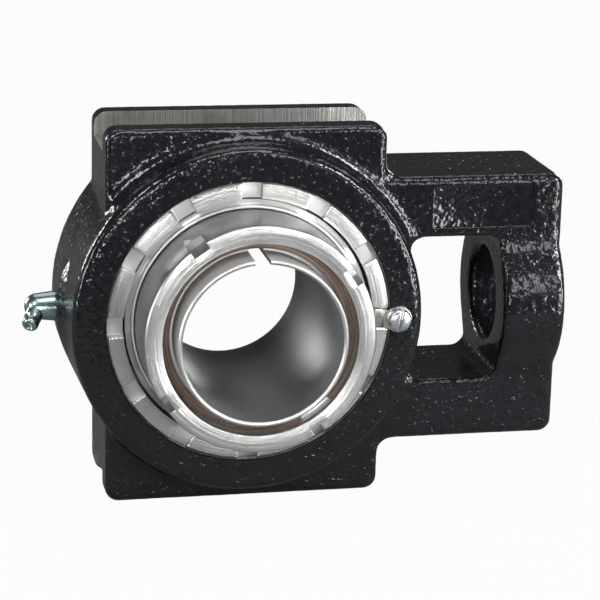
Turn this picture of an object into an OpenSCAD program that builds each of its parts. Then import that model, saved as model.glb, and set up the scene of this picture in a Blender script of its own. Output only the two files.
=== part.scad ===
// Take-up bearing unit with an adapter-mounted, self-aligning double-row roller bearing.
// X runs towards the take-up screw, Y along the shaft with the front at -Y, Z up.
// The origin is the centre of the bearing on the shaft axis. All sizes are in millimetres.

/* [Shaft and adapter sleeve] */
// Diameter of the shaft
shaft_d = 61.913; // [50:0.001:75]
// Wall of the sleeve at its plain front end
pilot_wall = 1.65; // [1.5:0.01:4]
// Wall of the sleeve at the thick end of its taper
sleeve_wall = 5.64; // [4.5:0.01:8]
// Length over which the taper loses one millimetre of radius
sleeve_taper_rate = 24; // [20:1:30]
// How far the sleeve stands out of the lock nut
sleeve_stand = 5; // [3:0.1:8]
// How far the sleeve stands out of the inner ring's rear face
sleeve_tail = 2.5; // [1:0.1:6]
// Width of the slot that splits the sleeve
sleeve_slot_w = 5.8; // [3:0.1:8]
// Place of the slot round the shaft, from +X towards +Z
sleeve_slot_angle = 91.7; // [0:0.1:360]
// Chamfer at the mouth of the shaft bore
sleeve_chamfer = 0.7; // [0.5:0.1:0.9]

/* [Lock nut] */
// Length of the nut
nut_len = 26.8; // [22:0.1:32]
// Wall of the nut over its thread
nut_wall = 3.6; // [3:0.1:5]
// Room round the thick end of the sleeve inside the nut
nut_room = 1.2; // [1:0.1:3]
// Width of a spanner slot
nut_slot_w = 7; // [4:0.1:9]
// Radial depth of a spanner slot
nut_slot_depth = 3; // [1:0.1:3.4]
// Length of a spanner slot along the nut
nut_slot_len = 12; // [5:0.5:15]
// Place of the first spanner slot
nut_slot_angle = 33.6; // [0:0.1:90]

/* [Snap ring] */
// Thickness of the snap ring
snap_t = 2.4; // [1.5:0.1:3]
// Depth of the ring below the nut's face
snap_depth = 8.6; // [6:0.1:10]
// Room between the ring and the sleeve's plain end
snap_room = 1.3; // [0.2:0.1:2]
// How far the ring enters the groove in the nut
snap_seat = 1.1; // [0.6:0.1:1.5]
// Angle that the ring's gap takes up
snap_gap = 19; // [10:1:40]
// Place of the middle of the gap
snap_gap_angle = 307; // [0:1:360]

/* [Threaded cover] */
// Length of the cover
cover_len = 14; // [11:0.1:17]
// Step from the cup seat out to the cover's thread
cover_step = 1.1; // [0.6:0.1:2]
// Number of spanner notches
notch_count = 12; // [6:1:16]
// Width of a spanner notch
notch_w = 7.7; // [5:0.1:10]
// Depth of a spanner notch
notch_depth = 2.5; // [1:0.1:4]

/* [Rolling set] */
// Diameter of a roller at its waist
roller_d = 8; // [7:0.1:9]
// Length of a roller
roller_len = 12; // [10:0.1:13]
// Rollers in one row
roller_count = 22; // [12:1:22]
// Wall of a cup at its thinnest
cup_wall = 3.3; // [2.5:0.1:5]
// Length of a cup
cup_len = 17.5; // [16:0.1:20]
// Width of the grease space between the cups
cup_space = 3; // [2:0.1:5]
// Thickness of the cage strip
cage_t = 2.4; // [1.5:0.1:3]
// Width of the cage's end rings
cage_rim = 1.6; // [1:0.1:2]

/* [Inner ring and seals] */
// Wall of the inner ring under the nut's thread
ring_wall = 4.4; // [3.5:0.1:6]
// Step from the thread up to the spherical track
track_step = 2; // [1:0.1:3]
// Step from the thread up to the seal collars
collar_step = 3.4; // [2.5:0.1:4]
// Width of the relief between the track and each collar
relief_w = 2.3; // [1.5:0.1:3]
// Width of the front collar
front_collar_w = 9.2; // [7:0.1:11]
// Width of the rear collar
rear_collar_w = 8.2; // [7:0.1:10]
// Radial thickness of a seal case
seal_case_t = 1.75; // [1:0.05:2.2]
// Radial height of a seal's shield and of the rubber behind it
seal_rubber_t = 2.1; // [1.2:0.1:2.4]
// Thickness of a seal's shield
shield_t = 1.1; // [0.8:0.1:1.2]
// Length of the front seal
front_seal_len = 6.2; // [4:0.1:7]
// Length of the rear seal
rear_seal_len = 4; // [3:0.1:4.5]

/* [Housing body] */
// Length of the guide flanges
body_len = 110; // [96:0.5:124]
// Height of the guide flanges above the barrel
flange_rise = 5.8; // [4:0.1:9]
// Depth across the guide flanges
body_depth = 48.4; // [44:0.1:52]
// Width of the guide grooves
groove_w = 27; // [20:0.1:30]
// Depth of the guide grooves
groove_depth = 9.5; // [6:0.1:11]
// Corner radius of the flanges
corner_r = 5; // [3:0.5:8]
// Edge radius of the casting
edge_r = 2; // [1:0.1:2.5]
// Wall of the barrel round the cover
boss_wall = 13.25; // [11:0.05:16]
// Gain in the barrel's radius from front to rear
barrel_draft = 2; // [1:0.1:3]
// How far the boss face stands in front of the cover
boss_stand = 1; // [0.3:0.1:2]
// Thickness of the rear lip behind the cups
rear_lip = 7; // [5:0.1:9]
// Edge radius of the boss
boss_edge_r = 3; // [2:0.1:3.5]
// Fillet at the foot of the boss
boss_fillet = 5; // [2:0.5:6]

/* [Take-up arm] */
// Length of the window
window_len = 36.5; // [30:0.1:45]
// Height of the window
window_h = 59; // [50:0.5:66]
// Corner radius of the window
window_r = 5; // [2:0.5:8]
// Thickness of the end wall
end_wall = 25.3; // [20:0.1:30]
// Height of the bars above and below the window
arm_bar = 24.4; // [20:0.1:30]
// Diameter of the take-up screw hole
screw_hole_d = 36.5; // [30:0.1:42]
// Chamfer at both mouths of the screw hole
hole_chamfer = 2; // [0.5:0.1:3]
// Wall of the boss round the screw hole
hub_wall = 15.75; // [13:0.05:19]
// Fillet between that boss and the arm
hub_fillet = 20; // [10:1:24]
// Fillet between the arm and the flanges
arm_fillet = 6.5; // [4:0.5:8]
// Length of the bare panel on the arm
panel_len = 42; // [30:1:46]
// Height of the bare panel
panel_h = 18; // [12:0.5:19]
// Depth of the bare panel
panel_depth = 0.9; // [0.5:0.1:2]

/* [Cover lock] */
// Thickness of the lock tab
tab_t = 1.8; // [1:0.1:2.2]
// Radius of the tab's round end
tab_end_r = 5.2; // [4.5:0.1:6]
// Diameter of the screw head
lock_head_d = 9.4; // [8:0.1:10]
// Height of the screw head
lock_head_h = 3.4; // [2.5:0.1:4]
// Diameter of the screw's shank
lock_shank_d = 4.2; // [3:0.1:5]
// Length of the screw's shank in the housing
lock_shank_len = 11; // [8:0.5:14]

/* [Grease fitting] */
// How far the grease pad stands out of the barrel
pad_rise = 1.6; // [1:0.1:2.4]
// Radius of the pad's round top
pad_round_r = 40; // [34:1:46]
// Length of the pad's top along the shaft
pad_top_len = 12; // [10:0.5:16]
// Length of the pad's slopes along the shaft
pad_slope_len = 11; // [6:0.5:12]
// Fall of those slopes
pad_fall = 3.5; // [3:0.1:5]
// Diameter of the spot face for the fitting
spot_d = 15; // [13:0.5:18]
// Depth of the spot face
spot_depth = 0.4; // [0.2:0.1:0.8]
// Thread diameter of the fitting
fitting_thread_d = 8; // [6:0.1:9]
// Diameter of the fitting's body at the elbow
fitting_d = 10.4; // [9.5:0.1:12]
// Diameter of the body at its seat
fitting_base_d = 12; // [10:0.1:12.5]
// Length of the fitting's body out to the elbow
fitting_reach = 6.8; // [6:0.1:10]
// Length of the nose from the elbow
nose_len = 11.3; // [10.5:0.1:13]
// Diameter of the nose's head
nose_head_d = 6.5; // [6:0.05:7.5]
// Diameter of the check ball
ball_d = 3.2; // [2.8:0.05:3.6]
// Part of the ball's diameter that the inlet takes
inlet_part = 0.75; // [0.6:0.01:0.85]
// Turn of the nose about the fitting's axis, from +Z towards -Y
nose_turn = 122; // [0:1:360]
// Lean of the nose away from the pad
nose_lean = 21; // [0:1:25]
// Wire diameter of the check spring
spring_wire = 0.4; // [0.3:0.05:0.5]
// Turns of the check spring
spring_turns = 4; // [3:1:5]

/* [Clearances] */
// Play of a roller against its tracks
roller_play = 0.15; // [0.1:0.01:0.3]
// Play of a roller in its cage pocket
pocket_play = 0.25; // [0.15:0.01:0.4]
// Radial running clearance of the seals and the check ball
running_play = 0.05; // [0.02:0.01:0.1]
// Clearance between mating threads and seats
seat_play = 0.05; // [0.02:0.01:0.1]
// Room round the seals for the shaft's self-alignment
seal_room = 0.9; // [0.8:0.1:2]
// Gap between the front seal and the lock nut
seal_gap = 0.4; // [0.3:0.1:1.5]
// Gap left between the lock nut and the inner ring's collar
nut_gap = 0.8; // [0.3:0.1:1.5]

/* [Hidden] */
$fn = 96;
over = 1;

// Radii outwards from the shaft
shaft_r = shaft_d / 2;
pilot_r = shaft_r + pilot_wall;
taper_r = shaft_r + sleeve_wall;
nut_bore_r = taper_r + nut_room;
thread_r = taper_r + ring_wall;
nut_r = thread_r + nut_wall;
snap_in_r = pilot_r + snap_room;
snap_out_r = nut_bore_r + snap_seat;
collar_r = thread_r + collar_step;
track_r = thread_r + track_step;
seal_in_r = collar_r + running_play;
seal_mid_r = seal_in_r + seal_case_t;
seal_out_r = seal_mid_r + seal_rubber_t;
cover_bore_r = seal_out_r + seal_room;
roller_r = roller_d / 2;
roller_flare_r = track_r + roller_play;
row_r = roller_flare_r + roller_r;
cup_r = row_r + roller_r + roller_play + cup_wall;
cover_r = cup_r + cover_step;
bore_r = cover_r + seat_play;
lock_r = bore_r + 3.05;
boss_r = bore_r + boss_wall;
rear_r = boss_r + barrel_draft;
pad_x = rear_r + pad_rise;
seat_x = pad_x - spot_depth;

// Places along the shaft, measured from the bearing centre
row_y = (cup_space + cup_len) / 2 + 0.76;
contact_angle = asin(row_y / row_r);
cup_face = cup_space / 2 + cup_len;
track_half = row_y + roller_len / 2 + 1.5;
relief_r = sqrt(track_r * track_r - track_half * track_half);
collar_inner = track_half + relief_w;
collar_front = collar_inner + front_collar_w;
ring_rear = collar_inner + rear_collar_w;
nut_rear = collar_front + nut_gap;
nut_front = nut_rear + nut_len;
nut_lip = 1.1;
snap_front = nut_front - snap_depth;
snap_rear = snap_front - snap_t;
ring_front = snap_rear - nut_lip - 0.3;
sleeve_front = nut_front + sleeve_stand;
sleeve_rear = ring_rear + sleeve_tail;
cover_face = cup_face + cover_len;
boss_front = cover_face + boss_stand;
barrel_rear = cup_face + rear_lip;
front_seal_y = nut_rear - seal_gap;
rear_seal_y = barrel_rear;
mouth_chamfer = 0.6;
tab_front = boss_front + tab_t;
tab_seat = cover_face - notch_depth + 0.3;

// Casting
body_half = body_depth / 2;
body_top = boss_r + flange_rise;
groove_floor = body_top - groove_depth;
window_x = rear_r - window_r;
wall_x = window_x + window_len;
arm_end = wall_x + end_wall;
arm_half = window_h / 2 + arm_bar;
hub_r = screw_hole_d / 2 + hub_wall;
hub_foot = sqrt(pow(hub_r + hub_fillet, 2) - pow(body_half + hub_fillet, 2));
hub_blend_y = hub_r * (body_half + hub_fillet) / (hub_r + hub_fillet);
panel_x = (rear_r + arm_end) / 2 - 4.5;
panel_z = (arm_half + window_h / 2) / 2;

// Small parts
roller_end_r = roller_r + roller_flare_r - sqrt(pow(roller_flare_r, 2) - pow(roller_len / 2, 2));
tab_w = notch_w - 0.5;
tab_in_r = cover_bore_r + 0.8;
tab_step_r = cover_r - 1.25;
elbow_x = seat_x + fitting_reach;
ball_r = ball_d / 2;
chamber_r = ball_r + running_play;
inlet_r = ball_r * inlet_part;
seat_z = nose_len - 1.2;
ball_z = seat_z - sqrt(ball_r * ball_r - inlet_r * inlet_r) - 0.02;
spring_floor = 4;
spring_r = chamber_r - 0.25 - spring_wire / 2;

// Taper radius at a place along the shaft axis
function taper_at(y) = taper_r - (y + snap_rear) / sleeve_taper_rate;

// Turns a revolved shape from the Z axis to the shaft axis
module on_shaft() { rotate([-90, 0, 0]) children(); }

// Solid of revolution about the shaft: x is the radius and y the place along the shaft
module turned() { on_shaft() rotate_extrude() children(); }

// Places its children round the shaft axis, from +X towards +Z
module at_angle(a) { rotate([0, -a, 0]) children(); }

// Outline in X and Z, given a thickness along Y
module through_depth(y0, y1) {
    translate([0, y1, 0]) rotate([90, 0, 0]) linear_extrude(y1 - y0) children();
}

// Outline in Y and Z, given a length along X
module along_length(x0, x1) {
    translate([x0, 0, 0]) rotate([90, 0, 90]) linear_extrude(x1 - x0) children();
}

// Waste outside a rounded corner whose tip is at the origin, with the material towards +x and +y
module corner_waste(r) {
    difference() {
        translate([-over, -over]) square(r + over);
        translate([r, r]) circle(r);
    }
}

// Rectangle between two corners, with rounded corners
module round_rect(low, high, r) {
    size = high - low;
    difference() {
        translate(low) square(size);
        translate(low) corner_waste(r);
        translate([high.x, low.y]) mirror([1, 0]) corner_waste(r);
        translate([low.x, high.y]) mirror([0, 1]) corner_waste(r);
        translate(high) rotate(180) corner_waste(r);
    }
}

// Block with rounded edges: outline in X and Z, section in Y and Z, plan in X and Y
module rounded_block(low, high, r_outline, r_edge) {
    intersection() {
        through_depth(low.y, high.y)
            round_rect([low.x, low.z], [high.x, high.z], r_outline);
        along_length(low.x, high.x)
            round_rect([low.y, low.z], [high.y, high.z], r_edge);
        translate([0, 0, low.z]) linear_extrude(high.z - low.z)
            round_rect([low.x, low.y], [high.x, high.y], r_edge);
    }
}

// Concave fillet between two walls that meet at the origin, filling the +x +y corner
module fillet_fill(r) {
    difference() {
        translate([-over, -over]) square(r + over);
        translate([r, r]) circle(r);
    }
}

module flange_body() {
    rounded_block(
        [-body_len / 2, -body_half, -body_top],
        [body_len / 2, body_half, body_top],
        corner_r, edge_r
    );
}

module barrel_outer() {
    turned() difference() {
        polygon([
            [0, -boss_front], [boss_r, -boss_front],
            [rear_r, barrel_rear], [0, barrel_rear]
        ]);
        translate([boss_r, -boss_front]) mirror([1, 0]) corner_waste(boss_edge_r);
        translate([rear_r, barrel_rear]) rotate(180) corner_waste(edge_r);
    }
}

// Fillet where the boss rises from the flange and arm faces
module boss_foot() {
    foot_r = boss_r + barrel_draft
        * (boss_front - body_half) / (boss_front + barrel_rear);
    intersection() {
        turned() translate([foot_r, -body_half]) mirror([0, 1]) fillet_fill(boss_fillet);
        through_depth(-boss_front, 0)
            translate([edge_r - body_len / 2, edge_r - body_top])
                square([body_len / 2 + wall_x - edge_r, 2 * (body_top - edge_r)]);
        through_depth(-boss_front, 0) union() {
            translate([-body_len / 2, -body_top]) square([body_len, 2 * body_top]);
            translate([0, window_h / 2]) square([wall_x, arm_half - window_h / 2 - edge_r]);
            translate([0, edge_r - arm_half]) square([wall_x, arm_half - window_h / 2 - edge_r]);
        }
    }
}

module arm_block() {
    rounded_block(
        [0, -body_half, -arm_half], [arm_end, body_half, arm_half], corner_r, edge_r + 1
    );
    for (side = [-1, 1])
        scale([1, 1, side])
            through_depth(edge_r - body_half, body_half - edge_r)
                translate([body_len / 2, arm_half]) fillet_fill(arm_fillet);
}

// Boss round the take-up screw hole, blended into the arm's front and back faces
module screw_hub() {
    along_length(wall_x, arm_end - edge_r) difference() {
        square([2 * hub_blend_y, 2 * hub_foot], center = true);
        for (sy = [-1, 1], sz = [-1, 1])
            translate([sy * (body_half + hub_fillet), sz * hub_foot]) circle(hub_fillet);
    }
    translate([wall_x, 0, 0]) rotate([0, 90, 0]) rotate_extrude() difference() {
        square([hub_r, end_wall]);
        translate([hub_r, 0]) mirror([1, 0]) corner_waste(edge_r);
        translate([hub_r, end_wall]) rotate(180) corner_waste(edge_r);
    }
}

// Low round land with sloping ends, as a seat for the grease fitting
module grease_pad() {
    top = pad_top_len / 2;
    foot = top + pad_slope_len;
    foot_r = pad_round_r - pad_fall;
    translate([pad_round_r - pad_x, 0, 0]) turned() polygon([
        [0, -foot], [foot_r, -foot], [pad_round_r, -top],
        [pad_round_r, top], [foot_r, foot], [0, foot]
    ]);
}

// Spot face, thread hole and grease passage for the fitting
module fitting_hole() {
    translate([-seat_x, 0, 0]) rotate([0, 90, 0]) {
        translate([0, 0, -over]) cylinder(d = spot_d, h = over);
        translate([0, 0, -over])
            cylinder(d = fitting_thread_d + 2 * seat_play, h = fitting_thread_d + over);
        cylinder(d = fitting_thread_d / 2, h = seat_x - cup_r + over);
    }
}

module housing_bore() {
    turned() polygon([
        [0, -boss_front - over], [bore_r + mouth_chamfer, -boss_front - over],
        [bore_r + mouth_chamfer, -boss_front], [bore_r, mouth_chamfer - boss_front],
        [bore_r, -cup_face], [cup_r + seat_play, -cup_face], [cup_r + seat_play, cup_face],
        [cover_bore_r, cup_face], [cover_bore_r, barrel_rear + over], [0, barrel_rear + over]
    ]);
}

module arm_window() {
    through_depth(-hub_r - over, hub_r + over) difference() {
        round_rect([window_x, -window_h / 2], [wall_x, window_h / 2], window_r);
        circle(rear_r);
    }
}

module screw_hole() {
    hole_r = screw_hole_d / 2;
    translate([wall_x, 0, 0]) rotate([0, 90, 0]) rotate_extrude() polygon([
        [0, -over], [hole_r + hole_chamfer, -over], [hole_r + hole_chamfer, 0],
        [hole_r, hole_chamfer], [hole_r, end_wall - hole_chamfer],
        [hole_r + hole_chamfer, end_wall], [hole_r + hole_chamfer, end_wall + over],
        [0, end_wall + over]
    ]);
}

module guide_grooves() {
    for (side = [-1, 1])
        scale([1, 1, side])
            translate([-body_len, -groove_w / 2, groove_floor])
                cube([2 * body_len, groove_w, groove_depth + over]);
}

module housing() {
    color("#17181b") difference() {
        union() {
            flange_body();
            barrel_outer();
            boss_foot();
            arm_block();
            screw_hub();
            grease_pad();
        }
        housing_bore();
        arm_window();
        guide_grooves();
        screw_hole();
        through_depth(-body_half - over, panel_depth - body_half)
            translate([panel_x, panel_z])
                round_rect([-panel_len, -panel_h] / 2, [panel_len, panel_h] / 2, edge_r);
        translate([lock_r, -boss_front - over, 0]) on_shaft()
            cylinder(d = lock_shank_d + 2 * seat_play, h = lock_shank_len + over);
        fitting_hole();
    }
}

module threaded_cover() {
    lead = 0.6;
    color("#b9bab8") difference() {
        turned() polygon([
            [cover_bore_r, -cover_face], [cover_r - lead, -cover_face],
            [cover_r, lead - cover_face], [cover_r, -cup_face], [cover_bore_r, -cup_face]
        ]);
        for (i = [0 : notch_count - 1])
            at_angle(i * 360 / notch_count)
                translate([cover_bore_r - over, -cover_face - over, -notch_w / 2])
                    cube([cover_r - cover_bore_r + 2 * over, notch_depth + over, notch_w]);
    }
}

// Stepped strip: its tongue lies in a cover notch and its round end on the boss face
module cover_lock_tab() {
    color("#c9c7bf") difference() {
        union() {
            translate([0, 0, -tab_w / 2]) linear_extrude(tab_w) polygon([
                [tab_in_r, -tab_seat], [tab_in_r, -tab_seat - tab_t],
                [tab_step_r - tab_t, -tab_seat - tab_t], [tab_step_r - tab_t, -tab_front],
                [lock_r, -tab_front], [lock_r, -boss_front],
                [tab_step_r, -boss_front], [tab_step_r, -tab_seat]
            ]);
            translate([lock_r, -tab_front, 0]) on_shaft() cylinder(r = tab_end_r, h = tab_t);
        }
        translate([lock_r, -tab_front - over, 0]) on_shaft()
            cylinder(d = lock_shank_d + 2 * seat_play, h = 2 * tab_t + 2 * over);
    }
}

module cover_lock_screw() {
    slot_w = 1.3;
    slot_depth = 1.7;
    slot_lean = 12;
    dome_r = lock_head_d * 0.72;
    color("#d2d5d6") translate([lock_r, -tab_front, 0]) difference() {
        union() {
            intersection() {
                rotate([90, 0, 0]) cylinder(d = lock_head_d, h = lock_head_h);
                translate([0, dome_r - lock_head_h, 0]) sphere(dome_r);
            }
            on_shaft() cylinder(d = lock_shank_d, h = lock_shank_len + tab_t - 0.5);
        }
        rotate([0, slot_lean, 0])
            translate([-slot_w / 2, -lock_head_h - over, -lock_head_d])
                cube([slot_w, slot_depth + over, 2 * lock_head_d]);
    }
}

// Cup for one row, with a convex track that matches the hollow rollers
module cup() {
    turned() intersection() {
        translate([track_r, cup_space / 2]) square([cup_r - track_r, cup_face - cup_space / 2]);
        rotate(contact_angle) translate([2 * row_r, 0]) circle(track_r);
    }
}

module front_cup() { color("#8f9294") mirror([0, 1, 0]) cup(); }

module rear_cup() { color("#8f9294") cup(); }

// Places its children on the middle of a row's rollers, with their axis along Z
module on_row() {
    for (i = [0 : roller_count - 1])
        at_angle(i * 360 / roller_count)
            rotate([0, 0, contact_angle]) translate([row_r, 0, 0]) on_shaft() children();
}

module roller_row() {
    on_row() rotate_extrude() difference() {
        translate([0, -roller_len / 2]) square([roller_end_r, roller_len]);
        translate([row_r, 0]) circle(roller_flare_r);
    }
}

module front_rollers() { color("#c4c7c9") mirror([0, 1, 0]) roller_row(); }

module rear_rollers() { color("#c4c7c9") roller_row(); }

module cage() {
    pocket_r = roller_end_r + pocket_play;
    pocket_len = roller_len + 2 * pocket_play;
    difference() {
        turned() rotate(contact_angle) translate([row_r, 0])
            square([cage_t, pocket_len + 2 * cage_rim], center = true);
        on_row() cylinder(r = pocket_r, h = pocket_len, center = true);
    }
}

module front_cage() { color("#a98a4a") mirror([0, 1, 0]) cage(); }

module rear_cage() { color("#a98a4a") cage(); }

// Steel seal case with a rolled lip and a shield, from its lip at y = 0 inwards
module seal_case(len) {
    lip_r = seal_case_t / 2;
    shield_y = 2 * lip_r;
    turned() union() {
        translate([seal_in_r, lip_r]) square([seal_case_t, len - lip_r]);
        translate([seal_in_r + lip_r, lip_r]) circle(lip_r);
        translate([seal_mid_r - lip_r, shield_y]) square([seal_out_r - seal_mid_r, shield_t]);
        translate([seal_out_r - shield_t / 2, shield_y + shield_t / 2]) circle(d = shield_t);
    }
}

// Rubber element bonded behind the shield of a seal case
module seal_rubber(len) {
    turned() translate([seal_mid_r, seal_case_t + shield_t])
        square([seal_out_r - seal_mid_r, len - seal_case_t - shield_t]);
}

module front_seal_case() {
    color("#c6c8c8") translate([0, -front_seal_y, 0]) seal_case(front_seal_len);
}

module front_seal_rubber() {
    color("#1b1b1c") translate([0, -front_seal_y, 0]) seal_rubber(front_seal_len);
}

module rear_seal_case() {
    color("#c6c8c8") mirror([0, 1, 0]) translate([0, -rear_seal_y, 0]) seal_case(rear_seal_len);
}

module rear_seal_rubber() {
    color("#1b1b1c") mirror([0, 1, 0]) translate([0, -rear_seal_y, 0]) seal_rubber(rear_seal_len);
}

module inner_ring() {
    color("#9fa2a4") turned() difference() {
        union() {
            intersection() {
                circle(track_r);
                translate([0, -track_half]) square([track_r, 2 * track_half]);
            }
            translate([0, -collar_inner]) square([relief_r, 2 * collar_inner]);
            translate([0, -collar_front]) square([collar_r, collar_front - collar_inner]);
            translate([0, collar_inner]) square([collar_r, ring_rear - collar_inner]);
            translate([0, -ring_front]) square([thread_r, ring_front - collar_inner]);
        }
        polygon([
            [-over, -ring_front - over], [taper_at(-ring_front - over), -ring_front - over],
            [taper_at(ring_rear + over), ring_rear + over], [-over, ring_rear + over]
        ]);
        translate([-track_r, -ring_front - over]) square([track_r, ring_front + ring_rear + 2 * over]);
    }
}

module adapter_sleeve() {
    rim = 0.5;
    color("#b4b6b6") difference() {
        turned() polygon([
            [shaft_r, sleeve_chamfer - sleeve_front], [shaft_r + sleeve_chamfer, -sleeve_front],
            [pilot_r - rim, -sleeve_front], [pilot_r, rim - sleeve_front],
            [pilot_r, -snap_rear], [taper_r, -snap_rear],
            [taper_at(sleeve_rear), sleeve_rear], [shaft_r, sleeve_rear]
        ]);
        at_angle(sleeve_slot_angle)
            translate([0, -sleeve_front - over, -sleeve_slot_w / 2])
                cube([taper_r + over, sleeve_front + sleeve_rear + 2 * over, sleeve_slot_w]);
    }
}

module lock_nut() {
    rim = 0.7;
    front_r = nut_bore_r;
    groove_r = snap_out_r + seat_play;
    color("#c3c5c4") difference() {
        turned() polygon([
            [front_r, -nut_front], [nut_r - rim, -nut_front], [nut_r, rim - nut_front],
            [nut_r, -nut_rear], [thread_r + seat_play, -nut_rear],
            [thread_r + seat_play, nut_lip - snap_rear], [front_r, nut_lip - snap_rear],
            [front_r, seat_play - snap_rear], [groove_r, seat_play - snap_rear],
            [groove_r, -snap_front - seat_play], [front_r, -snap_front - seat_play]
        ]);
        for (i = [0 : 3])
            at_angle(nut_slot_angle + 90 * i)
                translate([nut_r - nut_slot_depth, -nut_front - over, -nut_slot_w / 2])
                    cube([nut_slot_depth + over, nut_slot_len + over, nut_slot_w]);
    }
}

module snap_ring() {
    reach = 2 * snap_out_r;
    color("#8a6f5c") difference() {
        turned() translate([snap_in_r, -snap_front])
            square([snap_out_r - snap_in_r, snap_t]);
        at_angle(snap_gap_angle) through_depth(-snap_front - over, over - snap_rear)
            polygon([
                [0, 0], [reach, -reach * tan(snap_gap / 2)], [reach, reach * tan(snap_gap / 2)]
            ]);
    }
}

// Places its children at the elbow of the fitting, with Z along the nose
module at_nose() {
    translate([-elbow_x, 0, 0]) rotate([nose_turn, 0, 0]) rotate([0, -nose_lean, 0]) children();
}

module grease_fitting() {
    body_r = fitting_d / 2;
    head_r = nose_head_d / 2;
    stem_r = head_r + 0.15;
    stem_len = nose_len - 4.6;
    neck_len = nose_len - 3;
    color("#8d9a99") difference() {
        union() {
            translate([-seat_x, 0, 0]) rotate([0, 90, 0])
                cylinder(d = fitting_thread_d, h = fitting_thread_d - 0.5);
            translate([-elbow_x, 0, 0]) rotate([0, 90, 0])
                cylinder(d1 = fitting_d, d2 = fitting_base_d, h = fitting_reach);
            translate([-elbow_x, 0, 0]) sphere(body_r);
            at_nose() rotate_extrude() polygon([
                [0, 0], [stem_r, 0], [stem_r, stem_len], [head_r - 0.75, stem_len + 0.7],
                [head_r - 0.75, neck_len - 0.6], [head_r, neck_len], [head_r, nose_len - 1],
                [head_r - 1, nose_len], [0, nose_len]
            ]);
        }
        at_nose() translate([0, 0, spring_floor]) cylinder(r = chamber_r, h = seat_z - spring_floor);
        at_nose() translate([0, 0, -over]) cylinder(r = inlet_r, h = nose_len + 2 * over);
        translate([-elbow_x, 0, 0]) rotate([0, 90, 0])
            cylinder(r = inlet_r, h = fitting_reach + fitting_thread_d + over);
    }
}

module grease_check_ball() {
    color("#d5d7d8") at_nose() translate([0, 0, ball_z]) sphere(ball_r);
}

// Coil spring between the chamber floor and the ball, as one swept helix
module grease_check_spring() {
    sides = 8;
    steps = 14;
    wire_r = spring_wire / 2;
    low = spring_floor + wire_r + 0.02;
    high = ball_z - sqrt(pow(ball_r + wire_r, 2) - pow(spring_r, 2)) - 0.02;
    count = spring_turns * steps;
    points = [
        for (i = [0 : count], j = [0 : sides - 1])
            let (turn = 360 * i / steps, out = spring_r + wire_r * cos(360 * j / sides))
            [
                out * cos(turn), out * sin(turn),
                low + (high - low) * i / count + wire_r * sin(360 * j / sides)
            ]
    ];
    faces = concat(
        [[for (j = [0 : sides - 1]) j]],
        [
            for (i = [0 : count - 1], j = [0 : sides - 1])
                let (a = i * sides + j, b = i * sides + (j + 1) % sides)
                [a, a + sides, b + sides, b]
        ],
        [[for (j = [sides - 1 : -1 : 0]) count * sides + j]]
    );
    color("#b0b3b5") at_nose() polyhedron(points, faces, convexity = 6);
}

housing();
threaded_cover();
cover_lock_tab();
cover_lock_screw();
front_cup();
rear_cup();
front_cage();
rear_cage();
front_rollers();
rear_rollers();
front_seal_case();
front_seal_rubber();
rear_seal_case();
rear_seal_rubber();
inner_ring();
adapter_sleeve();
lock_nut();
snap_ring();
grease_fitting();
grease_check_ball();
grease_check_spring();
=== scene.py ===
"""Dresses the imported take-up bearing unit: cast housing, bearing insert, cover lock and grease fitting."""

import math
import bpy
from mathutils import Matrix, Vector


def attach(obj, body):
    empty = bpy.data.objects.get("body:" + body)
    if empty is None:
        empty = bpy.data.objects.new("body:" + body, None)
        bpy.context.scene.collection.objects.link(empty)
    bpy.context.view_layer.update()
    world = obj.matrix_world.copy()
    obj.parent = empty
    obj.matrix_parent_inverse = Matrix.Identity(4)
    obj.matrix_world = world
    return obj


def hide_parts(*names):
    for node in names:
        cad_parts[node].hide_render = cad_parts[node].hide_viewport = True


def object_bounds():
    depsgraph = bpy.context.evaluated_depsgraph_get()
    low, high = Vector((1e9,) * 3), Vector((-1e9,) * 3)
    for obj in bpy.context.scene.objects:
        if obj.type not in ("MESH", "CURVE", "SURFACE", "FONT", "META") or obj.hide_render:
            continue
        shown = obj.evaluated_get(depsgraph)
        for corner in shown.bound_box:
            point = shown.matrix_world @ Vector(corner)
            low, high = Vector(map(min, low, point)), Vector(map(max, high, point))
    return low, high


bl_info = {
    "name": "Take-up bearing unit",
    "version": (1, 0, 0),
    "blender": (4, 5, 0),
    "location": "View3D > Sidebar > Bearing unit",
    "description": "Models and finishes a take-up bearing unit and lights it in a studio",
    "category": "Object",
}

import bmesh
import bpy
from bpy.props import FloatProperty, FloatVectorProperty, IntProperty, PointerProperty
from mathutils import Matrix, Vector

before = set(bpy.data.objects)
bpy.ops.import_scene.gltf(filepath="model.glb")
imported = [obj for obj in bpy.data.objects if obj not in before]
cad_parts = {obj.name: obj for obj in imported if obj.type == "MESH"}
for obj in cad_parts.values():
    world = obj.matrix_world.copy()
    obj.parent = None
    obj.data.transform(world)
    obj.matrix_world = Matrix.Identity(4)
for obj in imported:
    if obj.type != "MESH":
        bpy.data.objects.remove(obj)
cad_low, cad_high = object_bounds()

MM = 0.001
TURN = 2 * math.pi

# In millimetres: radius of the points that close a solid section, and overshoot of a long cutter
NEAR_AXIS = 0.05
PAST = 9

# Main axes: direction, and the place of a section's point from its radius and place along the axis
AXES = {
    "X": ((1, 0, 0), lambda r, h: (h, r, 0)),
    "Y": ((0, 1, 0), lambda r, h: (r, h, 0)),
    "Z": ((0, 0, 1), lambda r, h: (r, 0, h)),
}


def length(name, default):
    """A length in millimetres, as Blender's camera unit shows it."""
    return FloatProperty(
        name=name, description=f"{name}, in millimetres", default=default, min=0.0, precision=3,
        unit="CAMERA",
    )


def share(name, default):
    """A share between 0 and 1."""
    return FloatProperty(
        name=name, description=f"{name}, from 0 to 1", default=default, min=0.0, max=1.0, subtype="FACTOR"
    )


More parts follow.
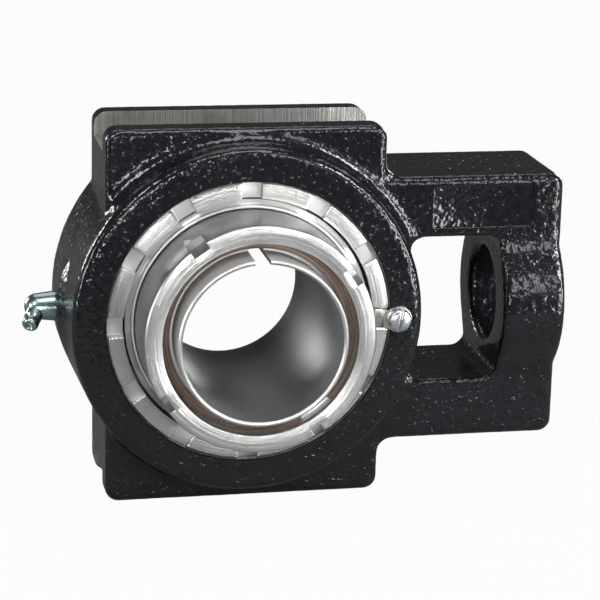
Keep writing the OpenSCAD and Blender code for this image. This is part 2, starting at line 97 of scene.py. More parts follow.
def angle(name, default):
    """An angle, given in degrees and kept in radians."""
    return FloatProperty(
        name=name, description=f"{name}, in degrees", default=math.radians(default), subtype="ANGLE"
    )


def colour(name, default):
    """A linear colour."""
    return FloatVectorProperty(
        name=name, description=f"{name}, as a linear colour", default=default, size=3, min=0.0, max=1.0,
        subtype="COLOR",
    )


class CastingSettings(bpy.types.PropertyGroup):
    """Sizes and paint of the cast housing."""

    body_len: length("Length of the guide flanges", 110.0)
    body_top: length("Shaft axis to the flanges' edge", 74.8)
    body_half: length("Half the depth of the flanges and the arm", 24.2)
    corner_r: length("Corner radius of the flanges", 5.0)
    edge_r: length("Edge radius of the casting", 2.0)
    groove_w: length("Width of the guide grooves", 27.0)
    groove_floor: length("Shaft axis to the groove floor", 65.3)
    boss_r: length("Barrel radius at the front boss face", 69.0)
    rear_r: length("Barrel radius at the rear face", 71.0)
    boss_front: length("Bearing centre to the boss face", 34.0)
    barrel_rear: length("Bearing centre to the rear face", 26.0)
    boss_edge_r: length("Edge radius of the boss", 3.0)
    boss_fillet: length("Fillet at the foot of the boss", 5.0)
    mouth_r: length("Radius of the chamfered mouth of the bore", 56.35)
    thread_r: length("Radius of the bore that takes the cover", 55.75)
    cup_bore_r: length("Radius of the bore that takes the cups", 54.65)
    lip_r: length("Radius of the bore in the rear lip", 49.2)
    cup_face: length("Bearing centre to the cup faces", 19.0)
    arm_half: length("Half the height of the arm", 53.9)
    arm_end: length("Shaft axis to the arm's end face", 127.8)
    window_x: length("Shaft axis to the window's start", 66.0)
    wall_x: length("Shaft axis to the window's end", 102.5)
    window_half: length("Half the height of the window", 29.5)
    window_r: length("Corner radius of the window", 5.0)
    arm_fillet: length("Fillet between the arm and the flanges", 6.5)
    hub_r: length("Radius of the boss round the take-up screw hole", 34.0)
    hub_fillet: length("Fillet between that boss and the arm", 20.0)
    screw_hole_r: length("Radius of the take-up screw hole", 18.25)
    hole_chamfer: length("Chamfer at both mouths of the screw hole", 2.0)
    pad_x: length("Shaft axis to the grease pad's top", 72.6)
    pad_round_r: length("Radius of the grease pad's round top", 40.0)
    pad_top_len: length("Length of the grease pad's top along the shaft", 12.0)
    pad_slope_len: length("Length of the grease pad's slopes along the shaft", 11.0)
    pad_fall: length("Fall of the grease pad's slopes", 3.5)
    spot_r: length("Radius of the spot face for the fitting", 7.5)
    seat_x: length("Shaft axis to the spot face", 72.2)
    panel_x: length("Shaft axis to the bare panel's middle", 94.9)
    panel_z: length("Shaft axis up to the bare panel's middle", 41.7)
    panel_len: length("Length of the bare panel", 42.0)
    panel_h: length("Height of the bare panel", 18.0)
    panel_depth: length("Depth of the bare panel on the arm", 0.9)
    skin_voxel: length("Mesh size of the cast skin", 1.05)
    skin_wave: length("Width of the cast skin's waves", 3.5)
    skin_rough: length("Height of the cast skin's waves", 0.2)
    paint: colour("Black gloss paint", (0.0032, 0.0035, 0.0042))
    bare_iron: colour("Milled faces of the grooves", (0.5, 0.495, 0.475))
    stain: colour("Brown stains on the milled faces", (0.2, 0.165, 0.13))


class InsertSettings(bpy.types.PropertyGroup):
    """Sizes and metal colours of the bearing insert."""

    shaft_r: length("Radius of the shaft bore", 30.9565)
    pilot_r: length("Outer radius of the sleeve's plain front end", 32.61)
    taper_r: length("Radius of the taper at its thick end", 36.6)
    taper_rate: length("Length in which the taper loses a millimetre of radius", 24.0)
    sleeve_front: length("Bearing centre to the sleeve's front end", 62.61)
    sleeve_rear: length("Bearing centre to the sleeve's rear end", 31.51)
    sleeve_chamfer: length("Chamfer at the mouth of the shaft bore", 0.7)
    slot_w: length("Width of the slot that splits the sleeve", 5.8)
    slot_angle: angle("Place of the slot round the shaft", 91.7)
    nut_r: length("Outer radius of the lock nut", 44.6)
    nut_bore_r: length("Radius of the nut's front bore", 37.8)
    nut_thread_r: length("Thread radius of the nut", 41.05)
    nut_front: length("Bearing centre to the nut's face", 57.61)
    nut_rear: length("Bearing centre to the nut's rear face", 30.81)
    nut_slot_w: length("Width of a spanner slot", 7.0)
    nut_slot_depth: length("Radial depth of a spanner slot", 3.0)
    nut_slot_len: length("Length of a spanner slot", 12.0)
    nut_slot_angle: angle("Place of the first spanner slot", 33.6)
    snap_front: length("Bearing centre to the snap ring's front face", 49.01)
    snap_t: length("Thickness of the snap ring", 2.4)
    snap_in_r: length("Inner radius of the snap ring", 33.91)
    snap_out_r: length("Outer radius of the snap ring", 38.9)
    snap_gap: angle("Angle of the snap ring's gap", 19.0)
    snap_gap_angle: angle("Place of the middle of the gap", 307.0)
    seal_in_r: length("Inner radius of the seal case", 44.45)
    seal_mid_r: length("Outer radius of the seal case", 46.2)
    seal_out_r: length("Outer radius of the seal's shield and rubber", 48.3)
    shield_t: length("Thickness of the seal's shield", 1.1)
    front_seal_y: length("Bearing centre to the front seal's lip", 30.41)
    front_seal_len: length("Length of the front seal", 6.2)
    rear_seal_y: length("Bearing centre to the rear seal's lip", 26.0)
    rear_seal_len: length("Length of the rear seal", 4.0)
    turned_steel: colour("Satin turned faces", (0.74, 0.74, 0.725))
    bright_steel: colour("Polished steel", (0.84, 0.84, 0.83))
    sleeve_steel: colour("Sleeve steel", (0.78, 0.78, 0.77))
    # The bore's colour is darker than the sleeve's as painted shade inside the bore.
    shaded_bore_steel: colour("Dull bore of the sleeve", (0.56, 0.56, 0.56))
    race_steel: colour("Races and inner ring", (0.50, 0.51, 0.52))
    brown_oxide: colour("Brown oxide of the snap ring", (0.17, 0.128, 0.105))
    cage_brass: colour("Brass of the cages", (0.55, 0.40, 0.15))
    rubber: colour("Seal rubber", (0.013, 0.013, 0.014))


class CoverSettings(bpy.types.PropertyGroup):
    """Sizes of the threaded cover and its lock."""

    cover_r: length("Thread radius of the cover", 55.7)
    cover_bore_r: length("Radius of the cover's bore", 49.2)
    cover_face: length("Bearing centre to the cover's face", 33.0)
    cover_back: length("Bearing centre to the cover's back", 19.0)
    notch_count: IntProperty(name="Notches", description="Number of spanner notches", default=12)
    notch_w: length("Width of a spanner notch", 7.7)
    notch_depth: length("Depth of a spanner notch", 2.5)
    lock_r: length("Shaft axis to the lock screw", 58.8)
    tab_t: length("Thickness of the lock tab", 1.8)
    tab_w: length("Width of the tab's tongue", 7.2)
    tab_end_r: length("Radius of the tab's round end", 5.2)
    tab_in_r: length("Shaft axis to the tongue's tip", 50.0)
    tab_step_r: length("Shaft axis to the tab's step", 54.45)
    tab_seat: length("Bearing centre to the tongue's underside", 30.8)
    head_r: length("Radius of the screw head", 4.7)
    head_h: length("Height of the screw head", 3.4)
    shank_r: length("Radius of the screw's shank", 2.1)
    shank_len: length("Length of the screw's shank", 12.3)
    driver_slot_w: length("Width of the driver slot", 1.3)
    zinc: colour("Bright zinc plate", (0.66, 0.67, 0.66))


class FittingSettings(bpy.types.PropertyGroup):
    """Sizes of the grease fitting."""

    body_r: length("Radius of the fitting's body at the elbow", 5.2)
    base_r: length("Radius of the fitting's body at its seat", 6.0)
    reach: length("Length of the body out to the elbow", 6.8)
    thread_r: length("Radius of the fitting's thread", 4.0)
    nose_len: length("Length of the nose from the elbow", 11.3)
    head_r: length("Radius of the nose's head", 3.25)
    inlet_r: length("Radius of the inlet", 1.2)
    nose_turn: angle("Turn of the nose about the fitting's axis", 122.0)
    nose_lean: angle("Lean of the nose away from the pad", 21.0)
    plate: colour("Blue-green zinc plate", (0.44, 0.52, 0.51))
    wire: colour("Wire of the check spring", (0.45, 0.46, 0.47))


class StudioSettings(bpy.types.PropertyGroup):
    """Camera and light."""

    camera_place: FloatVectorProperty(
        name="Camera place", description="Place of the camera in metres", size=3,
        default=(-0.158108, -0.860824, 0.250058), subtype="TRANSLATION",
    )
    azimuth: angle("Turn of the camera round the object", -12.115)
    elevation: angle("Height of the camera above the object", 15.927)
    roll: angle("Roll of the camera", 1.406)
    focal_px: FloatProperty(
        name="Focal length", description="Focal length in pixels of a 600 pixel frame",
        default=2270.24, subtype="PIXEL",
    )
    room_level: share("Brightness of the room's walls", 0.1)
    floor_front: colour("Floor in front of the unit", (0.2, 0.2, 0.2))
    floor_back: colour("Floor behind the unit", (0.08, 0.08, 0.08))
    table_front: length("Bearing centre to the floor's front edge", 300.0)
    floor_glow: share("Share of plain white in the floor that the camera sees", 0.97)
    floor_gloss: share("Share of that white that metal shows", 0.06)


# Name, direction (azimuth from the front and elevation, in degrees), distance, width, height, watts
LAMPS = (
    ("key", (50, 32), 1.2, 0.30, 0.30, 7.0),
    ("upper_left", (-42, 38), 1.2, 0.30, 0.30, 4.0),
    ("top", (10, 65), 1.1, 0.60, 0.40, 4.0),
    ("right", (58, 7), 1.0, 0.14, 0.45, 4.0),
    ("left", (-72, 7), 1.0, 0.14, 0.45, 3.0),
    ("front_left", (-8, 2), 1.3, 0.32, 0.13, 2.3),
    ("front_right", (36, -4), 1.3, 0.18, 0.60, 5.2),
    ("front_upper", (20, 22), 1.3, 0.16, 0.45, 1.4),
    ("back", (175, 55), 1.4, 1.00, 1.00, 3.2),
    ("rear_right", (138, 10), 1.3, 0.30, 0.40, 4.0),
    ("rear_left", (-138, 10), 1.3, 0.30, 0.40, 4.0),
)


SETTINGS = {
    "casting": CastingSettings,
    "insert": InsertSettings,
    "cover": CoverSettings,
    "fitting": FittingSettings,
    "studio": StudioSettings,
}


class UnitSettings(bpy.types.PropertyGroup):
    """All the settings of the unit."""

    __annotations__ = {name: PointerProperty(type=group) for name, group in SETTINGS.items()}


# Modelling


def deselect():
    """Leaves edit mode with nothing selected."""
    if bpy.context.object and bpy.context.object.mode != "OBJECT":
        bpy.ops.object.mode_set(mode="OBJECT")
    bpy.ops.object.select_all(action="DESELECT")


def activate(piece):
    """Makes one piece the only selected object."""
    deselect()
    piece.select_set(True)
    bpy.context.view_layer.objects.active = piece


def settle(piece, name):
    """Names a new primitive and puts its place and size into its mesh."""
    piece.name = name
    piece.data.name = name
    bpy.ops.object.transform_apply(location=True, rotation=True, scale=True)
    return piece


def finish_with(piece, kind, **values):
    """Adds one modifier and applies it."""
    activate(piece)
    modifier = piece.modifiers.new(kind.title(), kind)
    for key, value in values.items():
        setattr(modifier, key, value)
    bpy.ops.object.modifier_apply(modifier=modifier.name)


def block(name, low, high):
    """A box between two corners in millimetres."""
    deselect()
    low, high = Vector(low) * MM, Vector(high) * MM
    bpy.ops.mesh.primitive_cube_add(size=1, location=(low + high) / 2, scale=high - low)
    return settle(bpy.context.object, name)


def rod(name, start, end, radius, vertices=64):
    """A round bar between two points in millimetres."""
    deselect()
    start, end = Vector(start) * MM, Vector(end) * MM
    turn = (end - start).to_track_quat("Z", "Y").to_euler()
    bpy.ops.mesh.primitive_cylinder_add(
        vertices=vertices, radius=radius * MM, depth=(end - start).length,
        location=(start + end) / 2, rotation=turn,
    )
    return settle(bpy.context.object, name)


def select_edges(piece, test):
    """Selects the edges that pass a test on their two end points, in edit mode."""
    bpy.ops.mesh.select_mode(type="EDGE")
    bpy.ops.mesh.select_all(action="DESELECT")
    mesh = bmesh.from_edit_mesh(piece.data)
    for edge in mesh.edges:
        edge.select_set(test(*(v.co / MM for v in edge.verts)))
    bmesh.update_edit_mesh(piece.data)


def round_edges(piece, radius, test, segments=6):
    """Bevels the edges that pass a test."""
    activate(piece)
    bpy.ops.object.mode_set(mode="EDIT")
    select_edges(piece, test)
    bpy.ops.mesh.bevel(offset=radius * MM, segments=segments, affect="EDGES")
    bpy.ops.object.mode_set(mode="OBJECT")


def draw_line(name, points):
    """Draws a line of points in millimetres by extruding one vertex, and stays in edit mode."""
    deselect()
    first = Vector(points[0]) * MM
    bpy.ops.mesh.primitive_plane_add(size=MM, location=first)
    piece = settle(bpy.context.object, name)
    bpy.ops.object.mode_set(mode="EDIT")
    bpy.ops.mesh.select_mode(type="VERT")
    bpy.ops.mesh.select_all(action="SELECT")
    bpy.ops.mesh.merge(type="CENTER")
    for here, there in zip(points, points[1:]):
        step = (Vector(there) - Vector(here)) * MM
        bpy.ops.mesh.extrude_vertices_move(TRANSFORM_OT_translate={"value": step})
    return piece


def close_line(piece):
    """Joins the two loose ends of a drawn line."""
    bpy.ops.mesh.select_all(action="DESELECT")
    mesh = bmesh.from_edit_mesh(piece.data)
    for vertex in mesh.verts:
        vertex.select_set(len(vertex.link_edges) == 1)
    bmesh.update_edit_mesh(piece.data)
    bpy.ops.mesh.edge_face_add()
    bpy.ops.mesh.select_all(action="SELECT")


def weld(piece):
    """Merges doubled points and turns the faces outwards, then leaves edit mode."""
    bpy.ops.mesh.select_all(action="SELECT")
    bpy.ops.mesh.remove_doubles(threshold=1e-6)
    bpy.ops.mesh.normals_make_consistent(inside=False)
    bpy.ops.object.mode_set(mode="OBJECT")
    return piece


def turned(name, section, steps=192, axis="Y"):
    """Spins a closed section of (radius, place along the axis) points round a main axis."""
    pole, place = AXES[axis]
    piece = draw_line(name, [place(r, h) for r, h in section])
    close_line(piece)
    bpy.ops.mesh.spin(steps=steps, angle=TURN, center=(0, 0, 0), axis=pole)
    return weld(piece)


def prism(name, outline, sweep):
    """Gives a closed outline of points a thickness along a vector, in millimetres."""
    piece = draw_line(name, outline)
    close_line(piece)
    bpy.ops.mesh.edge_face_add()
    bpy.ops.mesh.extrude_region_move(TRANSFORM_OT_translate={"value": Vector(sweep) * MM})
    return weld(piece)


def arc(centre, radius, start, end, count):
    """Points on an arc, with angles in degrees."""
    steps = [math.radians(start + (end - start) * i / count) for i in range(count + 1)]
    return [(centre[0] + radius * math.cos(a), centre[1] + radius * math.sin(a)) for a in steps]


def joined(name, pieces):
    """Joins pieces into one mesh."""
    deselect()
    for piece in pieces:
        piece.select_set(True)
    bpy.context.view_layer.objects.active = pieces[0]
    bpy.ops.object.join()
    pieces[0].name = name
    return pieces[0]


def cut(piece, cutters, operation="DIFFERENCE"):
    """Applies a boolean with each cutter and removes the cutters."""
    for cutter in cutters:
        finish_with(piece, "BOOLEAN", object=cutter, operation=operation, solver="EXACT")
        bpy.data.objects.remove(cutter)


def round_the_shaft(piece, turn):
    """Turns a piece round the shaft, from +X towards +Z."""
    piece.data.transform(Matrix.Rotation(-turn, 4, "Y"))
    return piece


def ring_of_blocks(name, low, high, count, start=0.0):
    """Equal boxes spaced round the shaft, as one cutter."""
    boxes = [round_the_shaft(block(name, low, high), start + TURN * i / count) for i in range(count)]
    return joined(name, boxes)


def break_edges(piece, width, segments=2, limit=35):
    """Takes the sharpness off every hard edge and shades the rest smooth."""
    finish_with(
        piece, "BEVEL", width=width * MM, segments=segments, limit_method="ANGLE",
        angle_limit=math.radians(limit), use_clamp_overlap=True, harden_normals=False,
    )
    activate(piece)
    bpy.ops.object.shade_smooth_by_angle(angle=math.radians(limit))


def coat(piece, material):
    """Gives a piece one finish."""
    piece.data.materials.clear()
    piece.data.materials.append(material)


def seat(piece, body, slot, material, *nodes):
    """Puts a finished piece on its body in place of its CAD nodes."""
    coat(piece, material)
    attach(piece, body)
    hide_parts(*nodes)


# Finishes


def operation(kind, reflected=False):
    """A method of Socket that adds a Math node; a reflected one has the other value first."""

    def method(self, *other):
        values = (*other, self) if reflected else (self, *other)
        return self.tree.node("ShaderNodeMath", {"operation": kind}, dict(enumerate(values)))

    return method


class Socket:
    """A shader value with arithmetic; each operation adds a Math node."""

    def __init__(self, tree, link):
        self.tree = tree
        self.link = link

    __add__ = operation("ADD")
    __radd__ = operation("ADD", reflected=True)
    __sub__ = operation("SUBTRACT")
    __rsub__ = operation("SUBTRACT", reflected=True)
    __mul__ = operation("MULTIPLY")
    __rmul__ = operation("MULTIPLY", reflected=True)
    __truediv__ = operation("DIVIDE")
    __rtruediv__ = operation("DIVIDE", reflected=True)
    __abs__ = operation("ABSOLUTE")
    __lt__ = operation("LESS_THAN")
    __gt__ = operation("GREATER_THAN")
    root = operation("SQRT")
    maximum = operation("MAXIMUM")
    minimum = operation("MINIMUM")

    def clamp(self):
        """The value kept between 0 and 1."""
        return self.maximum(0.0).minimum(1.0)


class Nodes:
    """A node tree under construction, whose sockets come back as values."""

    def __init__(self, tree):
        self.tree = tree
        tree.nodes.clear()

    def node(self, kind, settings, inputs, output=0):
        """Adds a node, sets its settings, then its sockets, and returns one output."""
        made = self.tree.nodes.new(kind)
        for key, value in settings.items():
            setattr(made, key, value)
        for key, value in inputs.items():
            if isinstance(value, Socket):
                self.tree.links.new(value.link, made.inputs[key])
            else:
                made.inputs[key].default_value = value
        return Socket(self, made.outputs[output]) if len(made.outputs) else None

    def parts(self, vector):
        """The three parts of a vector."""
        return [self.node("ShaderNodeSeparateXYZ", {}, {0: vector}, i) for i in range(3)]

    def seen_by(self, *rays):
        """One for the named kinds of ray and zero for the others."""
        seen = [self.node("ShaderNodeLightPath", {}, {}, f"Is {ray} Ray") for ray in rays]
        total = seen[0]
        for other in seen[1:]:
            total = total.maximum(other)
        return total

    def blend(self, factor, first, second):
        """Mixes two shaders."""
        return self.node("ShaderNodeMixShader", {}, {0: factor, 1: first, 2: second})


class Finish(Nodes):
    """A material under construction, with Object coordinates in millimetres."""

    def __init__(self, name):
        self.material = bpy.data.materials.new(name)
        self.material.use_nodes = True
        super().__init__(self.material.node_tree)
        coords = self.node("ShaderNodeTexCoord", {}, {}, "Object")
        self.place = self.node(
            "ShaderNodeVectorMath", {"operation": "SCALE"}, {"Vector": coords, "Scale": 1 / MM}, "Vector"
        )
        self.x, self.y, self.z = self.parts(self.place)
        self.radius = (self.x * self.x + self.z * self.z).root()

    def noise(self, scale, detail, roughness=0.5):
        """Noise on the object's millimetres; scale is in waves for each millimetre."""
        return self.node(
            "ShaderNodeTexNoise", {},
            {"Vector": self.place, "Scale": scale, "Detail": detail, "Roughness": roughness},
        )

    def lines(self, coordinate, scale):
        """Noise along one coordinate only, as fine tool lines."""
        return self.node(
            "ShaderNodeTexNoise", {"noise_dimensions": "1D"},
            {"W": coordinate, "Scale": scale, "Detail": 3.0, "Roughness": 0.6},
        )

    def mix(self, factor, first, second):
        """Mixes two colours."""
        first, second = (c if isinstance(c, Socket) else (*c, 1.0) for c in (first, second))
        return self.node("ShaderNodeMix", {"data_type": "RGBA"}, {0: factor, 6: first, 7: second}, 2)

    def bump(self, height, strength, distance):
        """A normal from a height; distance in millimetres."""
        return self.node(
            "ShaderNodeBump", {}, {"Strength": strength, "Distance": distance * MM, "Height": height}
        )

    def surface(self, **inputs):
        """A Principled surface; underscores in the names stand for spaces."""
        named = {key.replace("_", " "): value for key, value in inputs.items()}
        return self.node("ShaderNodeBsdfPrincipled", {}, named)

    def done(self, surface):
        """Links the surface to the output and returns the material."""
        self.node("ShaderNodeOutputMaterial", {}, {"Surface": surface})
        return self.material


def shaded(base, factor):
    """A colour made darker or lighter."""
    return tuple(factor * c for c in base)


def cast_paint(settings):
    """Gloss black paint over grain and clustered grit, with milled grooves and bores; random lighter patches
    in its colour are painted reflection.
    """
    f = Finish("cast_paint")
    grain = f.noise(0.38, 1.0)
    fine = f.noise(1.1, 1.0)
    patches = f.noise(0.035, 3.0, 0.6)
    grit = (f.noise(0.55, 1.0) + patches * 0.16 - 0.745).maximum(0.0)
    # Painted reflection: random lighter patches in the black paint's colour stand in for soft reflections of
    # the room.
    painted_reflection = (f.noise(0.4, 3.0, 0.6) * 2.6 - 0.85).clamp()
    paint = f.surface(
        Base_Color=f.mix(painted_reflection * 0.7 + patches * 0.3, settings.paint, shaded(settings.paint, 3.2)),
        Roughness=0.1 + patches * 0.1,
        Specular_IOR_Level=1.0,
        Specular_Tint=(0.5, 0.5, 0.52, 1.0),
        Normal=f.bump(grain * 0.62 + fine * 0.06 + grit * 4.0, 1.0, 0.5),
    )
    cutter_marks = f.lines(f.x, 1.2) * 0.7 + f.lines(f.x, 0.35) * 0.3
    scored = shaded(settings.bare_iron, 0.55)
    milled = f.mix((cutter_marks * 3.2 - 1.05).clamp(), settings.bare_iron, scored)
    stain = f.noise(0.06, 4.0, 0.65)
    iron = f.surface(
        Base_Color=f.mix((stain * 2.4 - 1.15).clamp(), milled, settings.stain),
        Metallic=1.0,
        Roughness=0.3 + cutter_marks * 0.25,
        Normal=f.bump(cutter_marks, 1.0, 0.18),
    )
    # Each bare area reaches a little past the cutter that made it
    groove = (abs(f.y) < settings.groove_w / 2 + 0.06) * (abs(f.z) > settings.groove_floor - 0.06)
    front_bore = (f.radius < settings.thread_r + 0.1) * (f.y < 0.0)
    rear_bore = (f.radius < settings.lip_r + 0.25) * (f.y > -1.0)
    bare = groove.maximum(front_bore).maximum(rear_bore)
    return f.done(f.blend(bare, paint, iron))


def turned_metal(name, shade, rough, marks, side_marks=0.3, side=None, milled=None, bore=None):
    """Steel with fine turning lines on its faces and round its sides.

    side gives the radius, roughness and shade factor of the outer side, a factor below one being painted
    shade for a dark reflection; milled the inner radius, front and shade factor of dull slots in it, whose
    darker colour is painted shade in the recesses; bore the radius, colour and roughness of a dull inner
    side, whose colour is painted shade inside the bore and darkens from the front to the rear as painted
    shade.
    """
    f = Finish(name)
    lines = f.lines(f.radius, 2.6) + f.lines(f.y, 2.6) * side_marks
    clouds = f.noise(0.09, 4.0, 0.6)
    base = f.mix((clouds * 1.6 - 0.4).clamp() * 0.4 + lines * 0.3, shade, shaded(shade, 0.75))
    roughness = rough + clouds * 0.08
    if side:
        side_r, side_rough, side_painted_shade = side
        outside = f.radius > side_r
        # A shade factor below one darkens the side as painted shade, standing in for a dark reflection.
        base = f.mix(outside, base, shaded(shade, side_painted_shade))
        roughness = roughness + outside * (side_rough - rough)
    if milled:
        floor_r, front, slot_painted_shade = milled
        slot_rough = 0.4
        slots = (f.radius < side_r) * (f.radius > floor_r) * (f.y > front)
        # The slots' darker colour is painted shade in the recesses; their rougher finish is real.
        base = f.mix(slots, base, shaded(shade, slot_painted_shade))
        roughness = roughness + slots * (slot_rough - rough)
    if bore:
        bore_r, bore_shaded_colour, bore_rough = bore
        fade_start, fade_len = -55.0, 75.0
        # Painted shade: the bore's colour is dark, and darkens further from the front to the rear.
        inside = f.radius < bore_r
        rear_painted_shade = ((f.y - fade_start) / fade_len).clamp()
        base = f.mix(inside, base, f.mix(rear_painted_shade, bore_shaded_colour, shaded(bore_shaded_colour, 0.12)))
        roughness = roughness + inside * (bore_rough - rough)
    return f.done(f.surface(
        Base_Color=base, Metallic=1.0, Roughness=roughness, Normal=f.bump(lines, 1.0, 0.09 * marks),
    ))


def oxide_steel(settings):
    """Brown oxide spring steel with lines along its length."""
    f = Finish("brown_oxide_steel")
    clouds = f.noise(0.25, 4.0, 0.65)
    drawn = f.lines(f.radius, 1.1)
    dark, light = (shaded(settings.brown_oxide, factor) for factor in (0.5, 1.7))
    return f.done(f.surface(
        Base_Color=f.mix((drawn * 2.4 - 0.7 + (clouds - 0.5) * 0.6).clamp(), dark, light),
        Metallic=0.7, Roughness=0.32 + clouds * 0.2,
        Normal=f.bump(drawn + f.noise(1.5, 3.0) * 0.2, 1.0, 0.08),
    ))


def zinc_plate(name, shade, tint):
    """Zinc plate with a faint colour shift."""
    f = Finish(name)
    clouds = f.noise(0.28, 4.0, 0.6)
    return f.done(f.surface(
        Base_Color=f.mix((clouds * 1.8 - 0.4).clamp(), shade, tint),
        Metallic=1.0, Roughness=0.2 + clouds * 0.14,
        Normal=f.bump(f.noise(1.2, 3.0), 0.18, 0.06),
    ))


def seal_rubber(settings):
    """Dull black rubber."""
    f = Finish("seal_rubber")
    dust = f.noise(0.6, 4.0, 0.6)
    return f.done(f.surface(
        Base_Color=f.mix(dust * 0.5, settings.rubber, (0.03, 0.03, 0.031)),
        Roughness=0.55 + dust * 0.2, Normal=f.bump(dust, 0.2, 0.08),
    ))


def brass(settings):
    """Machined cage brass."""
    f = Finish("cage_brass")
    clouds = f.noise(0.2, 4.0, 0.6)
    return f.done(f.surface(
        Base_Color=f.mix(clouds, settings.cage_brass, shaded(settings.cage_brass, 0.7)),
        Metallic=1.0, Roughness=0.28 + clouds * 0.12,
    ))


def dress_nodes(material, *nodes):
    """Gives CAD nodes that keep their shape a finish."""
    for node in nodes:
        coat(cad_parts[node], material)


# Pieces


def rounded_outline(low, high, radius):
    """Points of a rectangle with rounded corners."""
    corners = (
        ((high[0] - radius, high[1] - radius), 0), ((low[0] + radius, high[1] - radius), 90),
        ((low[0] + radius, low[1] + radius), 180), ((high[0] - radius, low[1] + radius), 270),
    )
    return [point for centre, start in corners for point in arc(centre, radius, start, start + 90, 6)]


def flange_block(s):
    """The block that carries both guide flanges."""
    body = block(
        "flanges", (-s.body_len / 2, -s.body_half, -s.body_top), (s.body_len / 2, s.body_half, s.body_top)
    )
    round_edges(body, s.corner_r, lambda a, b: abs(a.y - b.y) > 1)
    finish_with(body, "BEVEL", width=s.edge_r * MM, segments=3, limit_method="ANGLE")
    return body


def barrel(s):
    """The drafted barrel with its front boss, and the fillet at the boss's foot."""
    edge, rim, r = s.edge_r, s.boss_edge_r, s.boss_fillet
    hollow_r, core_r, sunk = 20, 40, 3
    draft = (s.rear_r - s.boss_r) / (s.boss_front + s.barrel_rear)
    foot_r = s.boss_r + draft * (s.boss_front - s.body_half)
    shell = turned(
        "barrel",
        [(hollow_r, -s.boss_front)] + arc((s.boss_r - rim, rim - s.boss_front), rim, -90, 0, 5)
        + arc((s.rear_r - edge, s.barrel_rear - edge), edge, 0, 90, 4) + [(hollow_r, s.barrel_rear)],
        steps=160,
    )
    core = rod("barrel_core", (0, -s.boss_front, 0), (0, s.barrel_rear, 0), core_r)
    foot = turned(
        "boss_foot",
        [(foot_r - sunk, sunk - s.body_half), (foot_r - sunk, -s.body_half - r)]
        + arc((foot_r + r, -s.body_half - r), r, 180, 90, 6) + [(foot_r + r, sunk - s.body_half)],
        steps=160,
    )
    left, right = edge - s.body_len / 2, s.body_len / 2
    top, arm_top, far = s.body_top - edge, s.arm_half - edge, s.wall_x - edge
    upper = [(right, s.window_half), (far, s.window_half), (far, arm_top), (right, arm_top), (right, top)]
    lower = [(x, -z) for x, z in reversed(upper)]
    ground = prism(
        "foot_ground", [(x, -s.boss_front, z) for x, z in upper + [(left, top), (left, -top)] + lower],
        (0, s.boss_front, 0),
    )
    cut(foot, [ground], "INTERSECT")
    return [shell, core, foot]


def screw_hole(s):
    """Cutter for the take-up screw hole with its eased mouths."""
    r, c = s.screw_hole_r, s.hole_chamfer
    start, end = s.wall_x - PAST, s.arm_end + PAST
    return turned(
        "screw_hole",
        [
            (NEAR_AXIS, start), (r + c, start), (r + c, s.wall_x), (r, s.wall_x + c),
            (r, s.arm_end - c), (r + c, s.arm_end), (r + c, end), (NEAR_AXIS, end),
        ],
        steps=96, axis="X",
    )


def arm(s):
    """The take-up arm with its window, its end wall and the fillets at the flanges."""
    half = s.body_half
    bar = block("arm", (0, -half, -s.arm_half), (s.arm_end, half, s.arm_half))
    round_edges(bar, s.corner_r, lambda a, b: abs(a.y - b.y) > 1 and a.x > 1)
    finish_with(bar, "BEVEL", width=(s.edge_r + 1) * MM, segments=4, limit_method="ANGLE")
    outline = rounded_outline((s.window_x, -s.window_half), (s.wall_x, s.window_half), s.window_r)
    window = prism("window", [(x, -half - PAST, z) for x, z in outline], (0, 2 * (half + PAST), 0))
    cut(bar, [window, screw_hole(s)])
    r, sunk, inset = s.arm_fillet, 2, 1.5
    corner = (s.body_len / 2, s.arm_half)
    points = [(corner[0] - sunk, corner[1] + r), (corner[0] - sunk, corner[1] - sunk)]
    points += [(corner[0] + r, corner[1] - sunk)]
    points += arc((corner[0] + r, corner[1] + r), r, 270, 180, 8)
    fillets = [
        prism(
            "arm_fillet", [(x, inset - half, side * z) for x, z in points], (0, 2 * (half - inset), 0)
        )
        for side in (1, -1)
    ]
    return [bar, *fillets]


def screw_boss(s):
    """The boss round the screw hole, blended into the arm's front and back faces."""
    half, edge = s.body_half, s.edge_r
    hollow_r, sunk, inset = 8, 4, 1.5
    centre_y = half + s.hub_fillet
    foot_z = math.sqrt((s.hub_r + s.hub_fillet) ** 2 - centre_y ** 2)
    lean = math.degrees(math.atan2(foot_z, centre_y))
    curve = arc((foot_z, centre_y), s.hub_fillet, 270, 270 - lean, 8)
    outline = curve + [(-z, y) for z, y in reversed(curve)]
    outline += [(-foot_z, half - sunk), (foot_z, half - sunk)]
    blends = [
        prism(
            "hub_blend", [(s.wall_x, side * y, z) for z, y in outline],
            (s.arm_end - s.wall_x - inset, 0, 0),
        )
        for side in (1, -1)
    ]
    hub = turned(
        "hub",
        [(hollow_r, s.wall_x)] + arc((s.hub_r - edge, s.wall_x + edge), edge, -90, 0, 4)
        + arc((s.hub_r - edge, s.arm_end - edge), edge, 0, 90, 4) + [(hollow_r, s.arm_end)],
        steps=96, axis="X",
    )
    cut(hub, [screw_hole(s)])
    return [*blends, hub]


def grease_pad(s):
    """The low round land that seats the grease fitting."""
    top = s.pad_top_len / 2
    foot = top + s.pad_slope_len
    hollow_r, low_r = 5, s.pad_round_r - s.pad_fall
    slope = [(hollow_r, foot), (low_r, foot), (s.pad_round_r, top)]
    pad = turned("grease_pad", [(r, -y) for r, y in slope] + slope[::-1])
    pad.data.transform(Matrix.Translation(((s.pad_round_r - s.pad_x) * MM, 0, 0)))
    return pad


